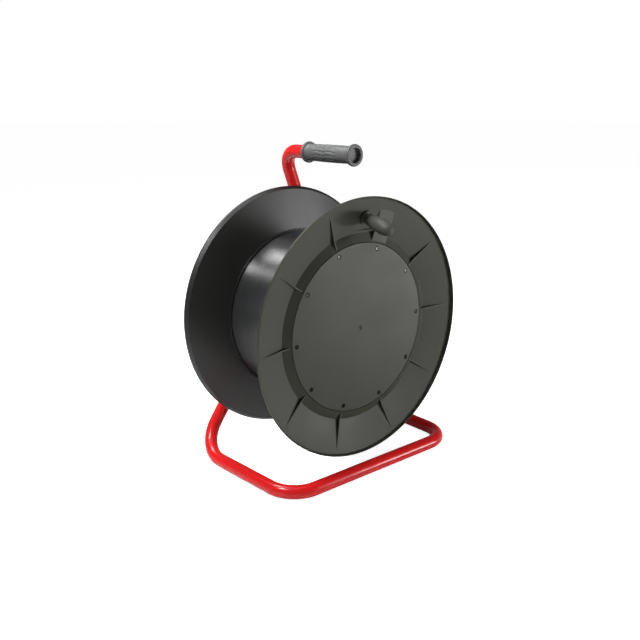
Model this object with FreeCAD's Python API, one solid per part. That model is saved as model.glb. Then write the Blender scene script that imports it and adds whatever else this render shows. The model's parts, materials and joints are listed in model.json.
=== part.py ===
import FreeCAD, Part
import math
import os

# Empty cable drum on a bent-tube carrying stand. Millimetres, +Z up, -Y is the front.
# X = 0 is the drum's axis, Z = 0 is the floor, and the whole part is centred along Y.

# Overall sizes
FLANGE_D = 380.0          # outer diameter of both drum flanges
DRUM_W = 185.0            # front rim edge to rear rim edge
FLOOR_GAP = 30.0          # floor to the lowest point of the flanges

# Flange section: a dished moulding with a lip, a cone, a foot and a ramp
WALL = 2.6                # shell thickness, measured along the axis
RIM_T = 2.6               # lip thickness
LIP_DEPTH = 4.8           # lip height in front of the cone
RIM_BEAD_W = 2.4          # bead along the rim on the winding side
RIM_BEAD_H = 0.9
RIM_ROUND = 0.7
LINE_W = 0.9              # narrow grooves at the lip's foot and around the collar
LINE_DEPTH = 0.6
RAMP_W = 12.8             # width of the ramp from the foot up to the cover
FOOT_DEPTH = 18.2         # depth of the dish's deepest circle behind the rim edge
SEAT_LAND = 3.2           # from the barrel's radius to the cover's seat
SEAT_DEPTH = 12.8         # depth of the cover's face behind the rim edge
RIB_COUNT = 10
RIB_T = 2.0
RIB_H = 4.3               # rib's height at its knee, just outside the foot
RIB_KNEE = 2.0            # from the foot circle to the knee
RIB_SINK = 1.0            # how far a rib's foot runs into the shell it stands on
RIB_BURY = 0.5            # how far a rib's two ends start below the surface
FIRST_RIB_DEG = 15.5      # clockwise from the top, seen from the front

# Barrel and its sockets
BARREL_R = 122.0
BARREL_WALL = 2.2
SOCKET_GAP = 0.1
COLLAR_WALL = 3.9
COLLAR_RISE = 1.3         # height of the collar above the flange's inner face
LEDGE_T = 3.0

# Front cover and its screws
COVER_T = 3.0
COVER_GAP = 0.8
LEDGE_W = 16.7            # from the screw circle to the ledge's inner edge
SCREW_R = 1.5
SCREW_LEN = 11.0
HEAD_R = 3.0
HEAD_H = 1.5
CBORE_R = 3.5
CBORE_DEPTH = 1.7
SCREW_GAP = 0.05
BOSS_R = 2.9
BOSS_LEN = 9.0
BOSS_GAP = 0.2            # screw boss to the inside of the barrel
DIMPLE_R = 4.0
DIMPLE_DEPTH = 1.0

# Hub, axle and retainers
AXLE_R = 10.0
RUN_GAP = 0.05
HUB_R = 20.0
HUB_LEN = 60.0            # rim plane to the hub's inner end
HUB_PROUD = 0.7           # hub beyond the rear rim plane
END_PLAY = 0.3
HUB_WEB_COUNT = 6
HUB_WEB_END = 14.0        # from the outside of the barrel to the webs' ends
HUB_WEB_H = 26.0
WASHER_R = 17.0
WASHER_T = 2.0
CLIP_R = 13.5
CLIP_T = 1.2
GROOVE_DEPTH = 0.9
AXLE_HEAD_R = 32.0
AXLE_HEAD_T = 10.0
SADDLE_GAP = 0.05         # weld gap between the axle's head and the leg it sits on

# Crank and the raised parts of the front flange under it
CRANK_DEG = 2.7
CRANK_SHARE = 0.441       # crank's place on the cone: 0 at the foot, 1 at the lip
CRANK_BOSS_R = 10.5
CRANK_BOSS_H = 3.0
PIN_R = 4.0
PIN_COLLAR_R = 7.0
PIN_COLLAR_T = 5.8
PIN_REACH = 39.0          # boss face to the pin's end
PIN_HEAD_R = 7.0
PIN_HEAD_T = 1.5
BEAD_R = 4.4
GRIP_LEN = 44.9
GRIP_BASE_R = 8.5
GRIP_MID_R = 10.4
GRIP_SHARE = (0.0, 0.2, 0.43, 0.65, 0.82, 0.94)   # stations along the crank grip
GRIP_NOSE = (0.88, 0.62)  # radius at the last two stations, as a share of the middle's
PAD_LEFT_W = 13.0
PAD_RIGHT_W = 15.5
PAD_TOP_R = 173.0         # circle where the pad's sloping face leaves the cone
PAD_CORNER_R = 9.5
GUSSET_LEN = 40.0
GUSSET_OFF = 1.5          # gusset above the foot circle

# Stand: one bent tube
TUBE_R = 10.0
TUBE_WALL = 1.5
REAR_GAP = 5.0            # rear rim edge to the legs' front surface
FRONT_BAR_Y = -12.2       # centre line of the front bar, from the front rim edge
LEFT_FRONT_X = -148.5
LEFT_REAR_X = -160.8
RIGHT_X = 177.3
HANDLE_X = 8.3
HAND_GAP = 37.4           # flange's top to the underside of the carrying grip
LEG_PASS_X = -14.4        # left leg's centre line at the height of the drum's axis
FLOOR_BEND_R = 45.0
LEG_BEND_R = 48.0
ELBOW_R = 32.0

# Rubber carrying grip
CARRY_FRONT_Y = 36.0
CARRY_LEN = 104.0
CARRY_WALL = 2.0
CARRY_SWELL = 0.7
CARRY_FLANGE_RISE = 5.6   # flange rim above the tube
CARRY_FLANGE_T = 5.0
CARRY_RECESS = 18.0       # open end of the grip, in front of the tube's end
CARRY_END_WALL = 2.0
FLUTE_COUNT = 10
FLUTE_R = 0.8
FLUTE_LEN = 50.0

AXIS_Z = FLOOR_GAP + FLANGE_D / 2.0
LEG_Y = DRUM_W + REAR_GAP + TUBE_R
RIM_R = FLANGE_D / 2.0
LIP_R = RIM_R - RIM_T
SEAT_R = BARREL_R + SEAT_LAND
FOOT_R = SEAT_R + RAMP_W
SCREW_PCD_R = BARREL_R - BARREL_WALL - BOSS_GAP - BOSS_R
LEDGE_R = SCREW_PCD_R - LEDGE_W
HUB_WEB_R = BARREL_R - HUB_WEB_END
CRANK_R = FOOT_R + (LIP_R - FOOT_R) * CRANK_SHARE
GUSSET_Z = FOOT_R + GUSSET_OFF
CARRY_R = TUBE_R + CARRY_WALL
CARRY_FLANGE_R = TUBE_R + CARRY_FLANGE_RISE
HANDLE_UP = RIM_R + HAND_GAP + CARRY_FLANGE_R
CONE = (FOOT_DEPTH - LIP_DEPTH) / (LIP_R - FOOT_R)
UP = FreeCAD.Vector(0, 0, 1)
BACK = FreeCAD.Vector(0, 1, 0)
AXIS = FreeCAD.Vector(0, 0, AXIS_Z)


def vec(x, y, z):
    return FreeCAD.Vector(x, y, z)


def cone_depth(r):
    """Depth of the dish's front face behind the rim edge at radius r."""
    return LIP_DEPTH + (LIP_R - r) * CONE


def spun(points, base, direction):
    """Solid of revolution. points are (radius, distance along direction)."""
    side = vec(1, 0, 0) if abs(direction.x) < 0.9 else vec(0, 0, 1)
    radial = (side - direction * side.dot(direction)).normalize()
    spots = [base + radial * r + direction * s for r, s in points]
    wire = Part.makePolygon(spots + [spots[0]])
    return Part.Face(wire).revolve(base, direction, 360)


def rod(radius, base, direction, start, end):
    return Part.makeCylinder(radius, end - start, base + direction * start, direction)


def turned(shape, degrees):
    """Copy of a shape turned clockwise about the drum's axis, seen from the front."""
    copy = shape.copy()
    copy.rotate(AXIS, BACK, degrees)
    return copy


def plate(points, half_t):
    """Plate in the plane X = 0 from (height above the axis, y) points."""
    spots = [vec(-half_t, y, AXIS_Z + r) for r, y in points]
    face = Part.Face(Part.makePolygon(spots + [spots[0]]))
    return face.extrude(vec(2 * half_t, 0, 0))


def mirrored(shape):
    """A front part's mirror image, moved to the rear end of the drum."""
    return shape.mirror(vec(0, DRUM_W / 2.0, 0), BACK)


def inner_depth(r):
    """Depth of the dish's inner face behind the rim edge at radius r."""
    return cone_depth(r) + WALL


def bead_circle():
    """Radius and depth of the inner edge of the bead along the rim."""
    r = RIM_R - RIM_BEAD_W
    return r, inner_depth(r) + RIM_BEAD_H


def dish_outside():
    line = LIP_R - LINE_W
    return [
        (RIM_R, 0), (LIP_R, 0), (LIP_R, LIP_DEPTH + LINE_DEPTH),
        (line, cone_depth(line) + LINE_DEPTH), (line, cone_depth(line)),
        (FOOT_R, FOOT_DEPTH), (SEAT_R, SEAT_DEPTH),
    ]


def dish_inside():
    socket = BARREL_R + SOCKET_GAP
    seat = SEAT_DEPTH + COVER_T + LEDGE_T
    collar = socket + COLLAR_WALL
    tip = inner_depth(collar) + COLLAR_RISE
    line = collar + LINE_W
    bead, end = bead_circle()
    return [
        (socket, seat), (socket, tip), (collar, tip),
        (collar, inner_depth(collar) - LINE_DEPTH), (line, inner_depth(line) - LINE_DEPTH),
        (line, inner_depth(line)), (bead, inner_depth(bead)), (bead, end), (RIM_R, end),
    ]


def rib():
    knee = FOOT_R + RIB_KNEE
    return plate(
        [
            (LIP_R + 1.0, LIP_DEPTH + RIB_BURY),
            (knee, cone_depth(knee) - RIB_H),
            (SEAT_R + 0.9, SEAT_DEPTH + 0.4 + RIB_BURY),
            (FOOT_R, FOOT_DEPTH + RIB_SINK),
        ],
        RIB_T / 2.0,
    )


def ribs(skip):
    step = 360.0 / RIB_COUNT
    first = rib()
    return [turned(first, FIRST_RIB_DEG + step * i) for i in range(RIB_COUNT) if i not in skip]


def soft_rim(shape):
    """Round the sharp circles of the rim: two in front and two on the winding side."""
    bead, end = bead_circle()
    sharp = [(RIM_R, 0), (LIP_R, 0), (RIM_R, end), (bead, end)]
    edges = []
    for edge in shape.Edges:
        curve = edge.Curve
        if not isinstance(curve, Part.Circle):
            continue
        if any(abs(curve.Radius - r) < 0.01 and abs(curve.Center.y - y) < 0.01 for r, y in sharp):
            edges.append(edge)
    return shape.makeFillet(RIM_ROUND, edges)


def pad_depth(r):
    """Depth of the pad's sloping face at radius r: from the cone down to the cover's seat."""
    low_r = SEAT_R + 0.9
    low = SEAT_DEPTH + 0.4 + RIB_BURY
    high = cone_depth(PAD_TOP_R)
    return low + (high - low) * (r - low_r) / (PAD_TOP_R - low_r)


def pad():
    """Wide block with a sloping face that takes the place of the first rib."""
    inner_r = SEAT_R + 0.9
    block = plate(
        [
            (PAD_TOP_R + 4.0, pad_depth(PAD_TOP_R + 4.0)), (inner_r, pad_depth(inner_r)),
            (FOOT_R, FOOT_DEPTH + RIB_SINK),
        ],
        (PAD_LEFT_W + PAD_RIGHT_W) / 2.0,
    )
    block.translate(vec((PAD_RIGHT_W - PAD_LEFT_W) / 2.0, 0, 0))
    column = Part.makeBox(
        PAD_LEFT_W + PAD_RIGHT_W, 60, PAD_TOP_R - inner_r + 42,
        vec(-PAD_LEFT_W, -10, AXIS_Z + inner_r - 40),
    )
    corners = []
    for edge in column.Edges:
        box = edge.BoundBox
        if box.YLength > 50 and box.ZMax > AXIS_Z + PAD_TOP_R:
            corners.append(edge)
    column = column.makeFillet(PAD_CORNER_R, corners)
    return turned(block.common(column), FIRST_RIB_DEG)


def pad_gusset():
    """Triangular side gusset that runs from the pad towards the left."""
    a = math.radians(FIRST_RIB_DEG)
    right = GUSSET_Z * math.tan(a) - PAD_LEFT_W / math.cos(a) + 1.0
    left = right - GUSSET_LEN
    foot = cone_depth(GUSSET_Z) + 1.2
    z = AXIS_Z + GUSSET_Z
    spots = [
        vec(left, foot, z), vec(left, cone_depth(math.hypot(left, GUSSET_Z)) + RIB_BURY, z),
        vec(right, pad_depth(GUSSET_Z) + 0.4, z), vec(right, foot, z),
    ]
    face = Part.Face(Part.makePolygon(spots + [spots[0]]))
    return face.extrude(vec(0, 0, RIB_T))


def crank_frame():
    """Where the crank's axis leaves the cone, and the cone's outward normal there."""
    a = math.radians(CRANK_DEG)
    tilt = math.atan(CONE)
    outward = vec(math.sin(a), 0, math.cos(a))
    base = AXIS + outward * CRANK_R + BACK * cone_depth(CRANK_R)
    direction = outward * (-math.sin(tilt)) - BACK * math.cos(tilt)
    return base, direction


def crank_boss():
    base, direction = crank_frame()
    top = CRANK_BOSS_H
    return spun(
        [(0, -1.2), (CRANK_BOSS_R, -1.2), (CRANK_BOSS_R, top - 0.8), (CRANK_BOSS_R - 0.8, top), (0, top)],
        base, direction,
    )


def screw_spots():
    step = 360.0 / RIB_COUNT
    spots = []
    for i in range(RIB_COUNT):
        a = math.radians(FIRST_RIB_DEG + step * i)
        spots.append(AXIS + vec(math.sin(a), 0, math.cos(a)) * SCREW_PCD_R)
    return spots


def front_flange():
    floor = SEAT_DEPTH + COVER_T
    section = dish_outside() + [(SEAT_R, floor), (LEDGE_R, floor), (LEDGE_R, floor + LEDGE_T)]
    body = soft_rim(spun(section + dish_inside(), AXIS, BACK))
    bosses = [rod(BOSS_R, s, BACK, floor + LEDGE_T - 0.5, floor + LEDGE_T + BOSS_LEN) for s in screw_spots()]
    body = body.fuse(ribs([0]) + [pad(), pad_gusset(), crank_boss()] + bosses)
    base, direction = crank_frame()
    holes = [rod(SCREW_R + SCREW_GAP, s, BACK, floor - 1, floor + LEDGE_T + BOSS_LEN + 1) for s in screw_spots()]
    holes.append(rod(PIN_R + RUN_GAP, base, direction, -20, CRANK_BOSS_H + 1))
    return body.cut(holes).removeSplitter()


def hub_web():
    return plate(
        [
            (HUB_R - 3, SEAT_DEPTH + 1), (HUB_WEB_R, SEAT_DEPTH + 1),
            (HUB_WEB_R, SEAT_DEPTH + COVER_T + 2), (HUB_R - 3, SEAT_DEPTH + COVER_T + HUB_WEB_H),
        ],
        RIB_T / 2.0,
    )


def rear_flange():
    """Built as a front part and mirrored: the dish, a closed web and the bearing hub."""
    bore = AXLE_R + RUN_GAP
    web = SEAT_DEPTH + COVER_T
    seat = web + LEDGE_T
    section = dish_outside() + [
        (HUB_R, SEAT_DEPTH), (HUB_R, -HUB_PROUD), (bore, -HUB_PROUD), (bore, HUB_LEN),
        (HUB_R, HUB_LEN), (HUB_R, web), (BARREL_R - 6, web), (BARREL_R - 6, seat),
    ]
    body = soft_rim(spun(section + dish_inside(), AXIS, BACK))
    webs = [turned(hub_web(), 360.0 / HUB_WEB_COUNT * i) for i in range(HUB_WEB_COUNT)]
    body = body.fuse(ribs([]) + webs).removeSplitter()
    return mirrored(body)


def barrel():
    seat = SEAT_DEPTH + COVER_T + LEDGE_T
    outer = rod(BARREL_R, AXIS, BACK, seat, DRUM_W - seat)
    return outer.cut(rod(BARREL_R - BARREL_WALL, AXIS, BACK, seat - 1, DRUM_W - seat + 1))


def front_cover():
    r = SEAT_R - COVER_GAP
    disc = spun(
        [(0, 0), (r - 0.4, 0), (r, 0.4), (r, COVER_T), (0, COVER_T)],
        AXIS + BACK * SEAT_DEPTH, BACK,
    )
    ball_r = (DIMPLE_R ** 2 + DIMPLE_DEPTH ** 2) / (2 * DIMPLE_DEPTH)
    tools = [Part.makeSphere(ball_r, AXIS + BACK * (SEAT_DEPTH + DIMPLE_DEPTH - ball_r))]
    for spot in screw_spots():
        tools.append(rod(CBORE_R, spot, BACK, SEAT_DEPTH - 1, SEAT_DEPTH + CBORE_DEPTH))
        tools.append(rod(SCREW_R + SCREW_GAP, spot, BACK, SEAT_DEPTH, SEAT_DEPTH + COVER_T + 1))
    return disc.cut(tools)


def cover_screw(spot):
    seat = SEAT_DEPTH + CBORE_DEPTH
    base = spot + BACK * seat
    body = spun(
        [
            (0, -HEAD_H), (HEAD_R * 0.7, -HEAD_H), (HEAD_R, -HEAD_H * 0.5), (HEAD_R, 0),
            (SCREW_R, 0), (SCREW_R, SCREW_LEN - 1), (0, SCREW_LEN),
        ],
        base, BACK,
    )
    for w, h in ((3.2, 0.8), (0.8, 3.2)):
        corner = base + vec(-w / 2.0, -HEAD_H - 0.5, -h / 2.0)
        body = body.cut(Part.makeBox(w, 1.4, h, corner))
    return body


def crank_pin():
    base, direction = crank_frame()
    top = CRANK_BOSS_H
    tail = -WALL * math.cos(math.atan(CONE))
    end = top + PIN_REACH
    body = spun(
        [
            (0, tail - PIN_HEAD_T), (PIN_HEAD_R - 1, tail - PIN_HEAD_T), (PIN_HEAD_R, tail - PIN_HEAD_T + 0.8),
            (PIN_HEAD_R, tail), (PIN_R, tail), (PIN_R, top), (PIN_COLLAR_R - 0.6, top),
            (PIN_COLLAR_R, top + 0.6), (PIN_COLLAR_R, top + PIN_COLLAR_T - 1.2),
            (PIN_COLLAR_R - 1.2, top + PIN_COLLAR_T), (PIN_R, top + PIN_COLLAR_T),
            (PIN_R, end - 5), (BEAD_R, end - 4), (BEAD_R, end - 3), (PIN_R - 1, end), (0, end),
        ],
        base, direction,
    )
    return body


def crank_grip():
    """Handle that turns on the pin: a swelling body with a round nose and a blind bore."""
    base, direction = crank_frame()
    foot = CRANK_BOSS_H + PIN_COLLAR_T + END_PLAY
    bead = CRANK_BOSS_H + PIN_REACH - foot
    origin = base + direction * foot
    side = vec(0, 0, 1)
    radial = (side - direction * side.dot(direction)).normalize()
    radii = [GRIP_BASE_R, (GRIP_BASE_R + GRIP_MID_R) / 2.0, GRIP_MID_R, GRIP_MID_R]
    radii += [GRIP_MID_R * share for share in GRIP_NOSE]
    spots = [origin + radial * r + direction * (GRIP_LEN * t) for t, r in zip(GRIP_SHARE, radii)]
    spots.append(origin + direction * GRIP_LEN)
    curve = Part.BSplineCurve()
    curve.interpolate(Points=spots, InitialTangent=direction, FinalTangent=radial * -1.0)
    bore = PIN_R + RUN_GAP
    inner = [
        origin + direction * GRIP_LEN,
        origin + direction * (bead + 1.5),
        origin + radial * bore + direction * (bead + 1.5),
        origin + radial * bore + direction * (bead - 1.9),
        origin + radial * (BEAD_R + RUN_GAP) + direction * (bead - 2.6),
        origin + radial * (BEAD_R + RUN_GAP) + direction * (bead - 4.2),
        origin + radial * bore + direction * (bead - 5.2),
        origin + radial * bore,
        origin + radial * GRIP_BASE_R,
    ]
    wire = Part.Wire(Part.__sortEdges__([curve.toShape()] + Part.makePolygon(inner).Edges))
    return Part.Face(wire).revolve(origin, direction, 360)


def bar_pieces(points, bends, radius):
    """Round bar along a line of points whose inner corners have the given bend radii."""
    pieces = []
    start = points[0]
    for i, bend in enumerate(bends):
        here = points[i + 1]
        into = (here - points[i]).normalize()
        out = (points[i + 2] - here).normalize()
        turn = math.acos(into.dot(out))
        reach = bend * math.tan(turn / 2.0)
        first = here - into * reach
        centre = here + (out - into).normalize() * (bend / math.cos(turn / 2.0))
        disc = Part.Face(Part.Wire([Part.makeCircle(radius, first, into)]))
        pieces.append(rod(radius, start, into, 0, (first - start).Length))
        pieces.append(disc.revolve(centre, into.cross(out), math.degrees(turn)))
        start = here + out * reach
    last = points[-1] - start
    pieces.append(rod(radius, start, last.normalize(), 0, (points[-1] - start).Length))
    return pieces


def stand_points():
    """Corners of the tube's centre line; the last one is where the left leg meets the right."""
    z = TUBE_R
    top = AXIS_Z + HANDLE_UP
    tube_front = CARRY_FRONT_Y + CARRY_RECESS + CARRY_END_WALL
    slope = (LEG_PASS_X - LEFT_REAR_X) / (AXIS_Z - z)
    lean = (HANDLE_X - RIGHT_X) / (top - z)
    meet_z = z + (RIGHT_X - LEFT_REAR_X) / (slope - lean)
    return [
        vec(HANDLE_X, tube_front, top), vec(HANDLE_X, LEG_Y, top), vec(RIGHT_X, LEG_Y, z),
        vec(RIGHT_X, FRONT_BAR_Y, z), vec(LEFT_FRONT_X, FRONT_BAR_Y, z),
        vec(LEFT_REAR_X, LEG_Y, z), vec(LEFT_REAR_X + slope * (meet_z - z), LEG_Y, meet_z),
    ]


def left_leg_line():
    points = stand_points()
    leg = points[-1] - points[-2]
    return points[-2], leg / leg.Length


def stand_tube():
    """One bent tube. Its left leg ends against the outside of its right leg."""
    points = stand_points()
    bends = [ELBOW_R, LEG_BEND_R, FLOOR_BEND_R, FLOOR_BEND_R, LEG_BEND_R]
    outside = bar_pieces(points, bends, TUBE_R)
    inside = bar_pieces(points, bends, TUBE_R - TUBE_WALL)
    right_leg = outside[2]
    inside[-1] = inside[-1].cut(right_leg)
    return outside[0].fuse(outside[1:]).cut(inside).removeSplitter()


def axle():
    """Steel axle with a saddled head that is welded against the left leg."""
    front = LEG_Y - TUBE_R - 4.0
    inner_end = DRUM_W - HUB_LEN - END_PLAY - WASHER_T - CLIP_T - 3.0
    groove = DRUM_W - HUB_LEN - END_PLAY - WASHER_T
    body = spun(
        [
            (0, inner_end), (AXLE_R - 1, inner_end), (AXLE_R, inner_end + 1),
            (AXLE_R, groove - CLIP_T), (AXLE_R - GROOVE_DEPTH, groove - CLIP_T),
            (AXLE_R - GROOVE_DEPTH, groove), (AXLE_R, groove), (AXLE_R, front),
            (AXLE_HEAD_R, front), (AXLE_HEAD_R, front + AXLE_HEAD_T), (0, front + AXLE_HEAD_T),
        ],
        AXIS, BACK,
    )
    start, direction = left_leg_line()
    return body.cut(rod(TUBE_R + SADDLE_GAP, start, direction, 0, AXIS_Z * 2))


def axle_washer():
    low = DRUM_W - HUB_LEN - END_PLAY - WASHER_T
    ring = rod(WASHER_R, AXIS, BACK, low, low + WASHER_T)
    return ring.cut(rod(AXLE_R + RUN_GAP, AXIS, BACK, low - 1, low + WASHER_T + 1))


def axle_clip():
    """Open retaining ring that sits in the axle's groove."""
    low = DRUM_W - HUB_LEN - END_PLAY - WASHER_T - CLIP_T
    ring = rod(CLIP_R, AXIS, BACK, low, low + CLIP_T)
    ring = ring.cut(rod(AXLE_R - GROOVE_DEPTH, AXIS, BACK, low - 1, low + CLIP_T + 1))
    gap = Part.makeBox(7.0, CLIP_T + 2, CLIP_R + 5, vec(-3.5, low - 1, AXIS_Z - CLIP_R - 5))
    return ring.cut(gap)


def carry_grip():
    base = vec(HANDLE_X, CARRY_FRONT_Y, AXIS_Z + HANDLE_UP)
    length = CARRY_LEN
    rim = CARRY_FLANGE_R
    t = CARRY_FLANGE_T
    wall = CARRY_RECESS + CARRY_END_WALL
    middle = length / 2.0
    profile = [
        (0, wall), (0, CARRY_RECESS), (TUBE_R - 0.6, CARRY_RECESS), (TUBE_R, CARRY_RECESS - 0.6),
        (TUBE_R, 0.8), (TUBE_R + 0.8, 0), (rim - 2.2, 0), (rim - 0.7, 0.7), (rim, 2.2), (rim, t - 2.2),
        (rim - 0.7, t - 0.7), (CARRY_R + 1.6, t + 0.4), (CARRY_R, t + 2.2), (CARRY_R, t + 8.0),
        (CARRY_R + CARRY_SWELL * 0.7, middle - 20), (CARRY_R + CARRY_SWELL, middle),
        (CARRY_R + CARRY_SWELL * 0.7, middle + 20), (CARRY_R, length - t - 8.0),
        (CARRY_R, length - t - 2.2), (CARRY_R + 1.6, length - t - 0.4), (rim - 0.7, length - t + 0.7),
        (rim, length - t + 2.2), (rim, length - 2.2), (rim - 0.7, length - 0.7),
        (rim - 2.2, length), (TUBE_R, length), (TUBE_R, wall),
    ]
    body = spun(profile, base, BACK)
    flutes = []
    for i in range(FLUTE_COUNT):
        a = 2 * math.pi * i / FLUTE_COUNT
        spot = base + vec(math.cos(a), 0, math.sin(a)) * (CARRY_R + CARRY_SWELL + 0.25)
        flutes.append(rod(FLUTE_R, spot, BACK, middle - FLUTE_LEN / 2.0, middle + FLUTE_LEN / 2.0))
    return body.cut(flutes)


def whole():
    parts = [
        ("stand_tube", stand_tube()),
        ("axle", axle()),
        ("axle_washer", axle_washer()),
        ("axle_clip", axle_clip()),
        ("carry_grip", carry_grip()),
        ("front_flange", front_flange()),
        ("rear_flange", rear_flange()),
        ("barrel", barrel()),
        ("front_cover", front_cover()),
        ("crank_pin", crank_pin()),
        ("crank_grip", crank_grip()),
    ]
    for i, spot in enumerate(screw_spots()):
        parts.append(("cover_screw_%02d" % (i + 1), cover_screw(spot)))
    return parts


def main():
    os.makedirs("parts", exist_ok=True)
    parts = whole()
    lows = [shape.optimalBoundingBox().YMin for _, shape in parts]
    highs = [shape.optimalBoundingBox().YMax for _, shape in parts]
    middle = (min(lows) + max(highs)) / 2.0
    for name, shape in parts:
        shape.translate(vec(0, -middle, 0))
        box = shape.BoundBox
        print(name, len(shape.Solids), shape.isValid(), "%.1f" % shape.Volume,
              "%.2f %.2f %.2f" % (box.XMin, box.YMin, box.ZMin),
              "%.2f %.2f %.2f" % (box.XMax, box.YMax, box.ZMax))
        shape.exportStep("parts/%s.step" % name)
    print("middle %.4f" % middle)


main()
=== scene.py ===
import json
import math

import bmesh
import bpy
from mathutils import Matrix, Vector


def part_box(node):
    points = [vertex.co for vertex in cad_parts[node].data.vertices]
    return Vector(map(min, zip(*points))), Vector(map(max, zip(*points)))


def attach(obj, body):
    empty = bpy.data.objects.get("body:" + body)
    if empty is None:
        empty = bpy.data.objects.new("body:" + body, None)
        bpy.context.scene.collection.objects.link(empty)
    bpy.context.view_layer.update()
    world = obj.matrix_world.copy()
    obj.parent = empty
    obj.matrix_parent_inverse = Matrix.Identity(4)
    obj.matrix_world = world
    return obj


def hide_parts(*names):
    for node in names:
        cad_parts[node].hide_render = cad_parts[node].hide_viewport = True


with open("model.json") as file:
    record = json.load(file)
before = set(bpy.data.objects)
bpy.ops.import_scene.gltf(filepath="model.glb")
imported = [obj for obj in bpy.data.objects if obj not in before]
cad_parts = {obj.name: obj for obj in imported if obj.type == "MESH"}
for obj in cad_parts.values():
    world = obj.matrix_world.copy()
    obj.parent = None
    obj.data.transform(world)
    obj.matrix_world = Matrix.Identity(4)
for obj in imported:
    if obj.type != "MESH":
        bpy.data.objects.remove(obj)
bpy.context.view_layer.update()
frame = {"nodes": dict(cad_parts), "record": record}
nodes = frame["nodes"]

# Lengths here are in millimetres, except for the places taken from the frame, which are in
# metres. Depths run from a rim's edge towards the middle of the drum, radii from its axis.
MM = 0.001
DRUM_W = 185.0

# Dish of a flange
RIM_R, LIP_R = 190.0, 187.4
EDGE_R = 188.8            # inner radius of the lip's thin front edge
EDGE_DEPTH = 3.4          # width of the rim's outer wall
EDGE_ROUND = 0.35
BACK_R = 186.2            # where the chamfer behind the rim meets the winding side
BARREL_R = 122.0
SEAT_R = BARREL_R + 3.2   # edge of the front cover's seat
FOOT_R = SEAT_R + 12.8    # deepest circle of the dish
LIP_DEPTH, FOOT_DEPTH, SEAT_DEPTH = 4.8, 18.2, 12.8
WALL = 2.6
CONE = (FOOT_DEPTH - LIP_DEPTH) / (LIP_R - FOOT_R)
LINE_W, LINE_DEPTH = 0.9, 0.6

# Ribs, and the pad and gusset beside the crank
RIB_COUNT, RIB_T = 10, 2.0
RIB_STEP = 360.0 / RIB_COUNT
FIRST_RIB = 15.5          # degrees clockwise from the top, seen from the front
RIB_H, RIB_KNEE = 4.3, 2.0    # height at the knee, and the knee's distance from the foot
SINK = 0.9                # ribs and pad start this far outside and below the seat's edge
PAD_LEFT, PAD_RIGHT = -13.0, 15.5
PAD_TOP_R = 173.0         # circle where the pad's face leaves the cone
PAD_CORNER_R = 9.5
GUSSET_LEN, GUSSET_OFF = 40.0, 1.5

# Front cover's seat and screws
COVER_T, LEDGE_T = 3.0, 3.0
WEB_DEPTH = SEAT_DEPTH + COVER_T      # face that the cover rests on
BARREL_WALL = 2.2
BOSS_R, BOSS_GAP, BOSS_LEN = 2.9, 0.2, 9.0
SCREW_HOLE_R = 1.6
SCREW_CIRCLE_R = BARREL_R - BARREL_WALL - BOSS_GAP - BOSS_R
LEDGE_R = SCREW_CIRCLE_R - 16.7

# Barrel's socket and the collar round it
SOCKET_R = BARREL_R + 0.1
COLLAR_R = SOCKET_R + 3.9
COLLAR_RISE = 1.3

# Hub of the rear flange, and the boss under the crank
HUB_R, HUB_BORE, HUB_LEN, HUB_PROUD = 20.0, 10.05, 60.0, 0.7
HUB_WEB_COUNT, HUB_WEB_H = 6, 26.0
HUB_WEB_R = BARREL_R - 14.0
CRANK_BOSS_R, CRANK_BOSS_H, CRANK_BOSS_SINK = 10.5, 3.0, 1.2
PIN_HOLE_R = 4.05

# Carrying grip
GRIP_RIM_R, GRIP_BORE_R = 15.58, 10.0
GRIP_RECESS = 6.0         # open front end of the grip
TUBE_END = 20.0           # from the grip's front end to the end of the tube in it
FLUTE_COUNT, FLUTE_DEPTH = 14, 0.62
FLUTE_FRONT, FLUTE_BACK = 26.0, 22.0  # plain lengths before and behind the flutes
FLUTE_RUN_IN = 7.0
FLUTED_R = 11.9           # flutes are pressed only outside this radius

RIM_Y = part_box("front_flange")[0].y
AXIS = Vector((0.0, 0.0, (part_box("barrel")[0].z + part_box("barrel")[1].z) / 2))
BACK = Vector((0, 1, 0))
JOINTS = {joint["name"]: joint for joint in frame["record"]["behaviour"]["joints"]}
CRANK_BASE = Vector(JOINTS["crank_spin"]["pos_m"])
CRANK_OUT = Vector(JOINTS["crank_spin"]["axis"])


# ---------------------------------------------------------------- mesh helpers
def cone_depth(r):
    """Depth of the dish's outer face at radius r."""
    return LIP_DEPTH + (LIP_R - r) * CONE


def inner_depth(r):
    """Depth of the winding side behind the cone."""
    return cone_depth(r) + WALL


def lathe(bm, outline, base, along, steps, closed=True):
    """Spin an outline of (radius, distance along) about a line; returns the new vertices."""
    side = along.orthogonal().normalized()
    verts = [bm.verts.new(base + (side * r + along * s) * MM) for r, s in outline]
    edges = [bm.edges.new(pair) for pair in zip(verts, verts[1:])]
    if closed:
        edges.append(bm.edges.new((verts[-1], verts[0])))
    before = set(bm.verts) - set(verts)
    bmesh.ops.spin(bm, geom=verts + edges, cent=base, axis=along, angle=math.tau,
                   steps=steps, use_merge=True)
    fresh = [v for v in bm.verts if v not in before]
    bmesh.ops.remove_doubles(bm, verts=fresh, dist=1e-6)
    return [v for v in bm.verts if v not in before]


def turn(bm, verts, degrees):
    """Turn vertices clockwise about the drum's axis, seen from the front."""
    turned = Matrix.Rotation(math.radians(degrees), 3, "Y")
    bmesh.ops.rotate(bm, verts=verts, cent=AXIS, matrix=turned)


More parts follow.
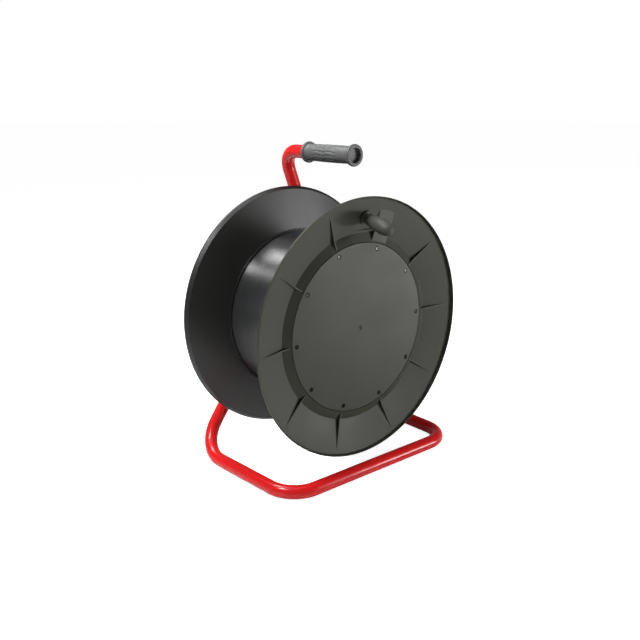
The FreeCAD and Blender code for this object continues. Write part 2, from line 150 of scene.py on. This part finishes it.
def wedge(bm, outline, thick, degrees, y_zero, y_sign):
    """Plate of a given thickness from (radius, depth) corners, turned to its place."""
    corners = [
        bm.verts.new((-thick / 2 * MM, y_zero + y_sign * y * MM, AXIS.z + r * MM)) for r, y in outline
    ]
    face = bm.faces.new(corners)
    moved = bmesh.ops.extrude_face_region(bm, geom=[face])
    far = [v for v in moved["geom"] if isinstance(v, bmesh.types.BMVert)]
    bmesh.ops.translate(bm, verts=far, vec=(thick * MM, 0, 0))
    turn(bm, corners + far, degrees)


def round_circles(bm, spots, y_zero, y_sign, width, segments):
    """Round the sharp circles of a spun moulding, each given as (radius, depth)."""
    near = 0.05
    edges = []
    for edge in bm.edges:
        ends = [
            (math.hypot(v.co.x, v.co.z - AXIS.z) / MM, (v.co.y - y_zero) * y_sign / MM) for v in edge.verts
        ]
        if any(all(abs(r - a) < near and abs(y - b) < near for r, y in ends) for a, b in spots):
            edges.append(edge)
    bmesh.ops.bevel(bm, geom=edges, offset=width * MM, segments=segments, profile=0.5,
                    affect="EDGES", material=-1)


def trim(bm, point, normal):
    """Cut a closed solid with a plane, keep what lies behind it and close the cut."""
    geom = list(bm.verts) + list(bm.edges) + list(bm.faces)
    cut = bmesh.ops.bisect_plane(bm, geom=geom, dist=1e-7, plane_co=point, plane_no=normal, clear_outer=True)
    rim = [e for e in cut["geom_cut"] if isinstance(e, bmesh.types.BMEdge)]
    bmesh.ops.holes_fill(bm, edges=rim, sides=0)


def finish_mesh(bm, name, material, body, replaced=(), soften=0.0, segments=2, angle=30):
    """Turn a bmesh into a smooth-shaded piece that rides on a body."""
    bmesh.ops.recalc_face_normals(bm, faces=bm.faces)
    mesh = bpy.data.meshes.new(name)
    bm.to_mesh(mesh)
    bm.free()
    mesh.shade_smooth()
    mesh.materials.append(material)
    piece = bpy.data.objects.new(name, mesh)
    bpy.context.collection.objects.link(piece)
    if soften:
        bevel = piece.modifiers.new("soft_edges", "BEVEL")
        bevel.width = soften * MM
        bevel.segments = segments
        bevel.limit_method = "ANGLE"
        bevel.angle_limit = math.radians(angle)
        bevel.use_clamp_overlap = True
        piece.modifiers.new("even_normals", "WEIGHTED_NORMAL").keep_sharp = True
    else:
        mesh.set_sharp_from_angle(angle=math.radians(angle))
    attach(piece, body)
    if replaced:
        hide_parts(*replaced)
    return piece


# ---------------------------------------------------------------- materials
def new_finish(name):
    """An empty material: returns it, its node tree and its Principled shader."""
    mat = bpy.data.materials.new(name)
    mat.use_nodes = True
    tree = mat.node_tree
    shader = tree.nodes["Principled BSDF"]
    return mat, tree, shader


def place(tree, scale):
    """Object coordinates in metres, stretched by a scale for each axis."""
    coords = tree.nodes.new("ShaderNodeTexCoord")
    mapping = tree.nodes.new("ShaderNodeMapping")
    mapping.inputs["Scale"].default_value = (scale[0], scale[1], scale[2])
    tree.links.new(coords.outputs["Object"], mapping.inputs["Vector"])
    return mapping.outputs["Vector"]


def noise(tree, vector, scale, detail=3.0, rough=0.5):
    """Cloudy value around 0.5; a larger scale gives finer blotches."""
    node = tree.nodes.new("ShaderNodeTexNoise")
    node.inputs["Scale"].default_value = scale
    node.inputs["Detail"].default_value = detail
    node.inputs["Roughness"].default_value = rough
    tree.links.new(vector, node.inputs["Vector"])
    return node.outputs["Fac"]


def spread(tree, value, low, high, out_low, out_high):
    """Stretch the range low to high onto out_low to out_high."""
    node = tree.nodes.new("ShaderNodeMapRange")
    node.inputs["From Min"].default_value = low
    node.inputs["From Max"].default_value = high
    node.inputs["To Min"].default_value = out_low
    node.inputs["To Max"].default_value = out_high
    tree.links.new(value, node.inputs["Value"])
    return node.outputs["Result"]


def blend_colours(tree, value, first, second):
    """Colour between two, led by a value from 0 to 1."""
    node = tree.nodes.new("ShaderNodeMix")
    node.data_type = "RGBA"
    node.inputs[6].default_value = (*first, 1.0)
    node.inputs[7].default_value = (*second, 1.0)
    tree.links.new(value, node.inputs["Factor"])
    return node.outputs[2]


def bump(tree, value, strength, distance):
    """Surface relief from a value; distance is its height in metres."""
    node = tree.nodes.new("ShaderNodeBump")
    node.inputs["Strength"].default_value = strength
    node.inputs["Distance"].default_value = distance
    tree.links.new(value, node.inputs["Height"])
    return node.outputs["Normal"]


def moulded_plastic(name, dark, light, rough, specular):
    """Spark-eroded moulding skin: a fine grain, and a slow drift of shade and gloss."""
    mat, tree, shader = new_finish(name)
    vector = place(tree, (1, 1, 1))
    drift = noise(tree, vector, 14.0, 2.0)
    skin = noise(tree, vector, 2600.0, 2.0, 0.6)
    colour = blend_colours(tree, spread(tree, drift, 0.3, 0.7, 0.0, 1.0), dark, light)
    gloss = spread(tree, drift, 0.3, 0.7, rough - 0.04, rough + 0.04)
    tree.links.new(colour, shader.inputs["Base Color"])
    tree.links.new(gloss, shader.inputs["Roughness"])
    tree.links.new(bump(tree, skin, 0.5, 0.00002), shader.inputs["Normal"])
    shader.inputs["Specular IOR Level"].default_value = specular
    return mat


def drawn_plastic():
    """Barrel skin with fine rings round the axis, so a light smears into a band along it."""
    mat, tree, shader = new_finish("barrel_plastic")
    rings = noise(tree, place(tree, (1, 60, 1)), 30.0, 3.0, 0.6)
    drift = noise(tree, place(tree, (1, 1, 1)), 16.0, 2.0)
    colour = blend_colours(tree, drift, (0.012, 0.0125, 0.013), (0.018, 0.019, 0.020))
    tree.links.new(colour, shader.inputs["Base Color"])
    tree.links.new(spread(tree, rings, 0.3, 0.7, 0.26, 0.34), shader.inputs["Roughness"])
    axis_direction = tree.nodes.new("ShaderNodeCombineXYZ")
    axis_direction.inputs["Y"].default_value = 1.0
    tree.links.new(axis_direction.outputs["Vector"], shader.inputs["Tangent"])
    shader.inputs["Anisotropic"].default_value = 0.92
    shader.inputs["Specular IOR Level"].default_value = 1.0
    return mat


def red_enamel():
    """Stoved paint on the stand tube, with a faint orange peel."""
    mat, tree, shader = new_finish("red_enamel")
    vector = place(tree, (1, 1, 1))
    drift = noise(tree, vector, 9.0, 2.0)
    peel = noise(tree, vector, 420.0, 2.0)
    shade = spread(tree, drift, 0.3, 0.7, 0.0, 1.0)
    colour = blend_colours(tree, shade, (0.54, 0.009, 0.010), (0.63, 0.012, 0.012))
    tree.links.new(colour, shader.inputs["Base Color"])
    tree.links.new(spread(tree, peel, 0.3, 0.7, 0.20, 0.27), shader.inputs["Roughness"])
    tree.links.new(bump(tree, peel, 0.25, 0.00006), shader.inputs["Normal"])
    shader.inputs["Specular IOR Level"].default_value = 0.24
    shader.inputs["Coat Weight"].default_value = 0.08
    shader.inputs["Coat Roughness"].default_value = 0.06
    return mat


def turned_steel(name, colour, rough):
    """Steel with fine marks left by the lathe."""
    mat, tree, shader = new_finish(name)
    vector = place(tree, (1, 12, 1))
    lines = noise(tree, vector, 700.0, 3.0, 0.7)
    shader.inputs["Base Color"].default_value = (*colour, 1.0)
    shader.inputs["Metallic"].default_value = 1.0
    tree.links.new(spread(tree, lines, 0.3, 0.7, rough - 0.06, rough + 0.08), shader.inputs["Roughness"])
    tree.links.new(bump(tree, lines, 0.2, 0.00001), shader.inputs["Normal"])
    return mat


def rubber():
    """Grey rubber of the carrying grip, dull and slightly grainy."""
    mat, tree, shader = new_finish("grip_rubber")
    vector = place(tree, (1, 1, 1))
    skin = noise(tree, vector, 1500.0, 3.0, 0.6)
    drift = noise(tree, vector, 40.0, 2.0)
    colour = blend_colours(tree, drift, (0.060, 0.061, 0.062), (0.095, 0.096, 0.097))
    tree.links.new(colour, shader.inputs["Base Color"])
    tree.links.new(spread(tree, skin, 0.3, 0.7, 0.46, 0.58), shader.inputs["Roughness"])
    tree.links.new(bump(tree, skin, 0.5, 0.00003), shader.inputs["Normal"])
    return mat


FLANGE = moulded_plastic(
    "flange_plastic", (0.030, 0.0315, 0.022), (0.036, 0.0375, 0.027), rough=0.50, specular=0.22,
)
# Rear flange: the same plastic as the front one, made glossier. Its base colour is several times darker than
# the front flange's, which is painted shade for the front flange's shadow falling on it.
WINDING_GLOSSY_AND_SHADED = moulded_plastic(
    "rear_flange_plastic_darkened_for_shade", (0.008, 0.008, 0.0075), (0.011, 0.011, 0.010), rough=0.36, specular=0.6,
)
BARREL = drawn_plastic()
CRANK = moulded_plastic(
    "crank_plastic", (0.048, 0.049, 0.042), (0.058, 0.059, 0.050), rough=0.5, specular=0.2,
)
RED = red_enamel()
STEEL = turned_steel("bright_steel", (0.62, 0.62, 0.60), 0.18)
ZINC = turned_steel("zinc_plated_steel", (0.40, 0.41, 0.41), 0.36)
BLACKED = turned_steel("blacked_steel", (0.022, 0.022, 0.022), 0.24)
RUBBER = rubber()

FINISHES = {
    "stand_tube": RED, "axle": ZINC, "axle_washer": ZINC, "axle_clip": ZINC, "carry_grip": RUBBER,
    "front_flange": FLANGE, "rear_flange": WINDING_GLOSSY_AND_SHADED, "barrel": BARREL, "front_cover": FLANGE,
    "crank_pin": STEEL, "crank_grip": CRANK,
}


def finish_cad_nodes():
    """Give every CAD node its finish; the cover screws are the ones not named above."""
    for name, obj in nodes.items():
        mat = FINISHES.get(name, BLACKED)
        obj.data.materials.clear()
        obj.data.materials.append(mat)


finish_cad_nodes()


# ---------------------------------------------------------------- flanges
def dish_outline():
    """Outer face of a flange from the rim to the cover's seat, as (radius, depth)."""
    line = EDGE_R - LINE_W
    return [
        (RIM_R, 0), (EDGE_R, 0), (EDGE_R - 0.5, cone_depth(EDGE_R) + LINE_DEPTH),
        (line, cone_depth(line) + LINE_DEPTH), (line - 0.4, cone_depth(line - 0.4)),
        (FOOT_R, FOOT_DEPTH), (SEAT_R, SEAT_DEPTH),
    ]


def winding_outline():
    """Winding side of a flange, from the barrel's socket out to the rim."""
    seat = WEB_DEPTH + LEDGE_T
    tip = inner_depth(COLLAR_R) + COLLAR_RISE
    line = COLLAR_R + LINE_W
    return [
        (SOCKET_R, seat), (SOCKET_R, tip), (COLLAR_R, tip),
        (COLLAR_R, inner_depth(COLLAR_R) - LINE_DEPTH), (line, inner_depth(line) - LINE_DEPTH),
        (line, inner_depth(line)), (BACK_R, inner_depth(BACK_R)), (RIM_R, EDGE_DEPTH),
    ]


def flange_body(bm, middle, y_zero, y_sign):
    """Spin a whole flange; y_sign is 1 for the front one and -1 for its rear mirror image."""
    outline = dish_outline() + middle + winding_outline()
    lathe(bm, outline, AXIS + BACK * y_zero, BACK * y_sign, 288)
    round_circles(bm, [(RIM_R, 0), (EDGE_R, 0)], y_zero, y_sign, EDGE_ROUND, 2)


def dish_ribs(bm, clock, y_zero, y_sign):
    """Thin ribs that fall from a knee near the foot to nothing at the lip and the seat."""
    knee = FOOT_R + RIB_KNEE
    outline = [
        (LIP_R + 1.0, LIP_DEPTH + 0.5), (knee, cone_depth(knee) - RIB_H),
        (SEAT_R + SINK, SEAT_DEPTH + SINK), (FOOT_R, FOOT_DEPTH + 1.0),
    ]
    for degrees in clock:
        wedge(bm, outline, RIB_T, degrees, y_zero, y_sign)


def pad_depth(r):
    """Depth of the pad's sloping face at radius r."""
    low_r, low = SEAT_R + SINK, SEAT_DEPTH + SINK
    return low + (cone_depth(PAD_TOP_R) - low) * (r - low_r) / (PAD_TOP_R - low_r)


def crank_pad():
    """Wide sloping pad beside the crank, with two rounded corners."""
    bm = bmesh.new()
    low, high = SEAT_R + SINK, PAD_TOP_R + 2.0
    blank_depth, middle_depth, middle_r, back_slope = 40.0, 10.0, 150.0, 0.45
    blank = Vector((PAD_RIGHT - PAD_LEFT, blank_depth, high - low)) * MM
    bmesh.ops.create_cube(bm, size=1.0)
    bmesh.ops.scale(bm, vec=blank, verts=bm.verts)
    centre = Vector((PAD_LEFT + PAD_RIGHT, 2 * middle_depth, low + high)) * MM / 2 + AXIS + BACK * RIM_Y
    bmesh.ops.translate(bm, vec=centre, verts=bm.verts)
    upper = [
        e for e in bm.edges
        if all(v.co.z > centre.z for v in e.verts) and abs(e.verts[0].co.y - e.verts[1].co.y) > 0.01
    ]
    bmesh.ops.bevel(
        bm, geom=upper, offset=PAD_CORNER_R * MM, segments=8, profile=0.5, affect="EDGES", material=-1,
    )
    slope = pad_depth(0) - pad_depth(1)
    front = Vector((0, RIM_Y + pad_depth(middle_r) * MM, AXIS.z + middle_r * MM))
    trim(bm, front, Vector((0, -1, -slope)))
    deep = Vector((0, RIM_Y + (FOOT_DEPTH + 1.0) * MM, AXIS.z + FOOT_R * MM))
    trim(bm, deep, Vector((0, 1, CONE)))
    trim(bm, deep, Vector((0, 1, -back_slope)))
    turn(bm, bm.verts, FIRST_RIB)
    return bm


def pad_gusset(bm):
    """Low web that runs from the pad to the left."""
    tilt = math.radians(FIRST_RIB)
    height = FOOT_R + GUSSET_OFF
    right = height * math.tan(tilt) + PAD_LEFT / math.cos(tilt) + 1.0
    left = right - GUSSET_LEN
    foot = cone_depth(height) + 1.2
    outline = [
        (left, foot), (left, cone_depth(math.hypot(left, height)) + 0.5),
        (right, pad_depth(height) + 0.4), (right, foot),
    ]
    z = AXIS.z + height * MM
    corners = [bm.verts.new((x * MM, RIM_Y + y * MM, z)) for x, y in outline]
    moved = bmesh.ops.extrude_face_region(bm, geom=[bm.faces.new(corners)])
    far = [v for v in moved["geom"] if isinstance(v, bmesh.types.BMVert)]
    bmesh.ops.translate(bm, verts=far, vec=(0, 0, RIB_T * MM))


def crank_boss(bm):
    """Round boss that the crank pin passes through."""
    foot = -CRANK_BOSS_SINK
    outline = [
        (PIN_HOLE_R, foot), (CRANK_BOSS_R, foot), (CRANK_BOSS_R, CRANK_BOSS_H), (PIN_HOLE_R, CRANK_BOSS_H),
    ]
    lathe(bm, outline, CRANK_BASE, CRANK_OUT, 64)


def screw_bosses(bm):
    """Tubular bosses behind the ledge, one for each cover screw."""
    near, far = WEB_DEPTH + 2.2, WEB_DEPTH + LEDGE_T + BOSS_LEN
    outline = [(SCREW_HOLE_R, near), (BOSS_R, near), (BOSS_R, far), (SCREW_HOLE_R, far)]
    for i in range(RIB_COUNT):
        a = math.radians(FIRST_RIB + RIB_STEP * i)
        out = Vector((math.sin(a), 0, math.cos(a)))
        lathe(bm, outline, AXIS + BACK * RIM_Y + out * SCREW_CIRCLE_R * MM, BACK, 24)


def front_flange():
    """Open dish with a ledge for the cover, nine ribs, the pad, the gusset and the bosses."""
    bm = bmesh.new()
    ledge = [(SEAT_R, WEB_DEPTH), (LEDGE_R, WEB_DEPTH), (LEDGE_R, WEB_DEPTH + LEDGE_T)]
    flange_body(bm, ledge, RIM_Y, 1)
    dish_ribs(bm, [FIRST_RIB + RIB_STEP * i for i in range(1, RIB_COUNT)], RIM_Y, 1)
    pad_gusset(bm)
    crank_boss(bm)
    screw_bosses(bm)
    flange = finish_mesh(
        bm, "front_flange_moulding", FLANGE, "drum", ["front_flange"], soften=0.25,
    )
    pad = finish_mesh(crank_pad(), "crank_pad", FLANGE, "drum", (), soften=0.5, segments=3)
    return flange, pad


def hub_webs(bm, y_zero, y_sign):
    """Upright webs between the bearing hub and the closed web of the rear flange."""
    outline = [
        (HUB_R - 3, SEAT_DEPTH + 1), (HUB_WEB_R, SEAT_DEPTH + 1), (HUB_WEB_R, WEB_DEPTH + 2),
        (HUB_R - 3, WEB_DEPTH + HUB_WEB_H),
    ]
    for i in range(HUB_WEB_COUNT):
        wedge(bm, outline, RIB_T, 360.0 / HUB_WEB_COUNT * i, y_zero, y_sign)


def rear_flange():
    """The same dish turned round, closed by a web that carries the bearing hub."""
    y_zero = RIM_Y + DRUM_W * MM
    step_r = BARREL_R - 6
    bm = bmesh.new()
    middle = [
        (HUB_R, SEAT_DEPTH), (HUB_R, -HUB_PROUD), (HUB_BORE, -HUB_PROUD), (HUB_BORE, HUB_LEN),
        (HUB_R, HUB_LEN), (HUB_R, WEB_DEPTH), (step_r, WEB_DEPTH), (step_r, WEB_DEPTH + LEDGE_T),
    ]
    flange_body(bm, middle, y_zero, -1)
    dish_ribs(bm, [FIRST_RIB + RIB_STEP * i for i in range(RIB_COUNT)], y_zero, -1)
    hub_webs(bm, y_zero, -1)
    return finish_mesh(
        bm, "rear_flange_moulding", WINDING_GLOSSY_AND_SHADED, "drum", ["rear_flange"], soften=0.25,
    )


def barrel_tube():
    """Plain tube that sits in the sockets of both flanges."""
    seat = WEB_DEPTH + LEDGE_T
    inner = BARREL_R - BARREL_WALL
    bm = bmesh.new()
    outline = [(BARREL_R, seat), (BARREL_R, DRUM_W - seat), (inner, DRUM_W - seat), (inner, seat)]
    lathe(bm, outline, AXIS + BACK * RIM_Y, BACK, 288)
    return finish_mesh(bm, "barrel_tube", BARREL, "drum", ["barrel"], soften=0.3)


front_flange()
rear_flange()
barrel_tube()


# ---------------------------------------------------------------- carrying grip
def grip_radius(s, length):
    """Outer radius of the rubber grip at a distance s from its front end."""
    neck, swell = 12.0, 0.7
    middle = 1.0 - (2.0 * s / length - 1.0) ** 2
    return neck + swell * middle


def carrying_grip():
    """Rubber sleeve with a rolled rim at each end; its front end is a shallow cup."""
    low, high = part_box("carry_grip")
    centre = (low + high) / 2
    base = Vector((centre.x, low.y, centre.z))
    length = (high.y - low.y) / MM
    rim, bore, cup = GRIP_RIM_R, GRIP_BORE_R, GRIP_RECESS
    end = [
        (bore + 1.3, 0.0), (rim - 2.0, 0.0), (rim - 0.9, 0.3), (rim - 0.3, 0.9), (rim, 2.0), (rim, 3.2),
        (rim - 0.3, 4.2), (rim - 1.1, 4.9), (13.6, 5.4), (12.8, 6.0), (12.3, 7.0), (12.6, 8.2),
        (12.6, 9.4), (12.1, 10.4),
    ]
    outline = [
        (0.0, cup), (bore - 1.2, cup), (bore - 0.3, cup - 0.5), (bore, cup - 1.6), (bore, 1.4),
        (bore + 0.5, 0.4),
    ]
    outline += end
    rings, plain = 60, 12.0
    for i in range(rings + 1):
        s = plain + (length - 2 * plain) * i / rings
        outline.append((grip_radius(s, length), s))
    outline += [(r, length - s) for r, s in reversed(end)]
    outline += [
        (bore + 0.3, length), (bore + 0.02, length - 0.6), (bore + 0.02, TUBE_END), (0.0, TUBE_END),
    ]
    bm = bmesh.new()
    lathe(bm, outline, base, BACK, 240, closed=False)
    press_flutes(bm, base, length)
    return finish_mesh(
        bm, "carrying_grip_rubber", RUBBER, "stand", ["carry_grip"], angle=60,
    )


def press_flutes(bm, base, length):
    """Press wavy flutes into the middle of the grip, fading out at both ends."""
    for v in bm.verts:
        s = (v.co.y - base.y) / MM
        x, z = v.co.x - base.x, v.co.z - base.z
        r = math.hypot(x, z) / MM
        if r < FLUTED_R or not FLUTE_FRONT < s < length - FLUTE_BACK:
            continue
        clock = math.atan2(x, z)
        bend = 0.055 * math.sin(s * math.tau / 26.0) + 0.03 * math.sin(s * math.tau / 11.0 + 1.0)
        fade = min(1.0, (s - FLUTE_FRONT) / FLUTE_RUN_IN, (length - FLUTE_BACK - s) / FLUTE_RUN_IN)
        ridge = 0.5 + 0.5 * math.cos(FLUTE_COUNT * (clock + bend))
        groove = max(0.0, ridge - 0.35) / 0.65
        pressed = r - FLUTE_DEPTH * fade * groove ** 1.5
        v.co.x = base.x + x * pressed / r
        v.co.z = base.z + z * pressed / r


carrying_grip()


# ---------------------------------------------------------------- room
def scaled(tree, value, factor, plus=None):
    """The sum value * factor + plus, where plus may be left out."""
    node = tree.nodes.new("ShaderNodeMath")
    node.operation = "MULTIPLY_ADD"
    tree.links.new(value, node.inputs[0])
    node.inputs[1].default_value = factor
    node.inputs[2].default_value = 0.0
    if plus is not None:
        tree.links.new(plus, node.inputs[2])
    return node.outputs[0]


def pale_floor():
    """Wide white floor that shows no edge and keeps the stand's soft shadow."""
    bpy.ops.mesh.primitive_plane_add(size=40, location=(0, 0, 0))
    floor = bpy.context.object
    floor.name = "floor"
    mat, tree, shader = new_finish("floor_white")
    shader.inputs["Base Color"].default_value = (0.86, 0.86, 0.86, 1)
    shader.inputs["Roughness"].default_value = 0.9
    path = tree.nodes.new("ShaderNodeLightPath")
    direct = scaled(tree, path.outputs["Is Camera Ray"], 0.90)
    mirrored = scaled(tree, path.outputs["Is Glossy Ray"], 0.06, direct)
    through = scaled(tree, path.outputs["Is Transmission Ray"], 0.90, mirrored)
    shader.inputs["Emission Color"].default_value = (1, 1, 1, 1)
    tree.links.new(through, shader.inputs["Emission Strength"])
    floor.data.materials.append(mat)
    return floor


def white_world(ambient, horizon, overhead):
    """White backdrop; glossy surfaces see it fade from the horizon to a dim ceiling."""
    world = bpy.data.worlds.new("room")
    bpy.context.scene.world = world
    world.use_nodes = True
    tree = world.node_tree
    background = tree.nodes["Background"]
    background.inputs["Color"].default_value = (1, 1, 1, 1)
    coords = tree.nodes.new("ShaderNodeTexCoord")
    split = tree.nodes.new("ShaderNodeSeparateXYZ")
    tree.links.new(coords.outputs["Generated"], split.inputs["Vector"])
    backdrop = spread(tree, split.outputs["Z"], 0.0, 0.45, horizon - ambient, overhead - ambient)
    path = tree.nodes.new("ShaderNodeLightPath")
    seen = scaled(tree, path.outputs["Is Camera Ray"], 1.0 - ambient)
    seen = scaled(tree, path.outputs["Is Transmission Ray"], 1.0 - ambient, seen)
    glossy = tree.nodes.new("ShaderNodeMath")
    glossy.operation = "MULTIPLY_ADD"
    tree.links.new(path.outputs["Is Glossy Ray"], glossy.inputs[0])
    tree.links.new(backdrop, glossy.inputs[1])
    tree.links.new(seen, glossy.inputs[2])
    total = scaled(tree, glossy.outputs[0], 1.0)
    total.node.inputs[2].default_value = ambient
    tree.links.new(total, background.inputs["Strength"])


def soft_lamp(name, spot, aim, size, watts, beam=180):
    """Rectangular lamp aimed at a point; beam is its angle of spread in degrees."""
    lamp = bpy.data.lights.new(name, "AREA")
    lamp.shape = "RECTANGLE"
    lamp.size, lamp.size_y = size
    lamp.energy = watts
    lamp.spread = math.radians(beam)
    obj = bpy.data.objects.new(name, lamp)
    bpy.context.collection.objects.link(obj)
    obj.location = spot
    obj.rotation_euler = (Vector(aim) - Vector(spot)).to_track_quat("-Z", "Y").to_euler()
    obj.visible_camera = False
    return obj


DRUM_MIDDLE = (0, 0, 0.25)
BETWEEN_FLANGES = (0, 0.05, 0.3)
REAR_FLANGE_TOP = (-0.02, 0.09, 0.42)

pale_floor()
white_world(ambient=0.10, horizon=0.50, overhead=0.06)
soft_lamp("low_right", (0.92, -1.00, 0.075), DRUM_MIDDLE, (0.4, 0.14), 8.5)
soft_lamp("high_right", (0.93, -1.07, 0.60), REAR_FLANGE_TOP, (0.6, 0.4), 0.45, beam=40)
soft_lamp("upper_left", (-1.0, 0.03, 1.5), BETWEEN_FLANGES, (0.4, 0.3), 3.6, beam=60)
soft_lamp("top_back", (-0.34, 0.79, 1.69), (0, 0, 0.3), (0.5, 0.5), 20)
soft_lamp("overhead", (0, 0.1, 2.0), DRUM_MIDDLE, (1.0, 1.0), 9)


# ---------------------------------------------------------------- camera
CAMERA_SPOT = (-0.7328, -0.8534383, 0.5328)
CAMERA_BACK = Vector((-0.6197, -0.7367, 0.2706))    # from the drum towards the camera


def main_camera():
    """Camera to the left of the drum's front and a little above it."""
    cam = bpy.data.cameras.new("camera")
    cam.sensor_width, cam.lens = 36.0, 43.37
    cam.clip_start, cam.clip_end = 0.01, 100
    obj = bpy.data.objects.new("camera", cam)
    bpy.context.collection.objects.link(obj)
    obj.location = CAMERA_SPOT
    obj.rotation_mode = "QUATERNION"
    obj.rotation_quaternion = (-CAMERA_BACK).normalized().to_track_quat("-Z", "Y")
    bpy.context.scene.camera = obj


main_camera()
bpy.context.scene.view_settings.view_transform = "Standard"
